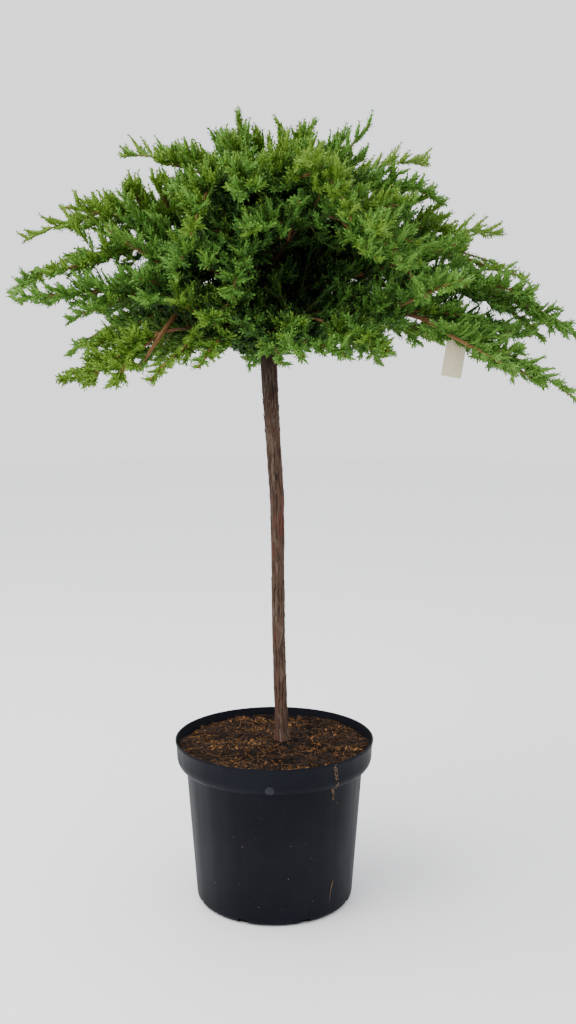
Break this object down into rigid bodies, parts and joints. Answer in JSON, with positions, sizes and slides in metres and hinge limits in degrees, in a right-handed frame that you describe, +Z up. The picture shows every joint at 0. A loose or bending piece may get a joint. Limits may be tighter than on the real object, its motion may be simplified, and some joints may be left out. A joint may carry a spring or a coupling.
{
  "type": "potted creeping juniper standard",
  "caption": "Creeping garden juniper grafted as a small standard: a full arching crown of short green needles on a slim bare trunk, in a round black plastic nursery pot.",
  "frame": {"origin": "centre of the pot's flat underside", "axes": "+Z up along the trunk, -Y the front that the picture shows, +X its right"},
  "size_m": [0.7951, 0.6374, 1.137],
  "materials": {
    "pot_plastic": "black nursery plastic with a soft sheen",
    "soil": "coarse brown peat and fibre, matt",
    "bark": "red-brown bark with grey flaking strips",
    "foliage": "short green needles, bright at the shoot tips",
    "tag_card": "plain pale card"
  },
  "bodies": {
    "root": {"pot": "pot_plastic", "soil": "soil", "trunk": "bark", "bough_back_low": "bark", "bough_back_low_left": "bark", "bough_back_low_right": "bark", "bough_back_mid": "bark", "bough_back_mid_left": "bark", "bough_back_mid_right": "bark", "bough_back_up": "bark", "bough_back_up_left": "bark", "bough_front_arch": "bark", "bough_front_left_low": "bark", "bough_front_low": "bark", "bough_front_right_arch": "bark", "bough_front_right_low": "bark", "bough_left_high": "bark", "bough_left_inner": "bark", "bough_left_low_back": "bark", "bough_left_low_front": "bark", "bough_left_mid": "bark", "bough_right_high": "bark", "bough_right_long": "bark", "bough_right_low": "bark", "bough_right_low_back": "bark", "bough_right_mid": "bark", "bough_right_top": "bark", "foliage_back_low": "foliage", "foliage_back_low_left": "foliage", "foliage_back_low_right": "foliage", "foliage_back_mid": "foliage", "foliage_back_mid_left": "foliage", "foliage_back_mid_right": "foliage", "foliage_back_up": "foliage", "foliage_back_up_left": "foliage", "foliage_front_arch": "foliage", "foliage_front_left_low": "foliage", "foliage_front_low": "foliage", "foliage_front_right_arch": "foliage", "foliage_front_right_low": "foliage", "foliage_left_high": "foliage", "foliage_left_inner": "foliage", "foliage_left_low_back": "foliage", "foliage_left_low_front": "foliage", "foliage_left_mid": "foliage", "foliage_left_top": "foliage", "foliage_right_high": "foliage", "foliage_right_long": "foliage", "foliage_right_low": "foliage", "foliage_right_low_back": "foliage", "foliage_right_mid": "foliage", "foliage_right_top": "foliage", "foliage_right_top_back": "foliage", "foliage_top_left": "foliage", "foliage_top_mid": "foliage", "foliage_top_right": "foliage", "foliage_up_front": "foliage", "foliage_up_front_left": "foliage", "foliage_up_front_right": "foliage", "hang_tag": "tag_card"}
  },
  "joints": []
}
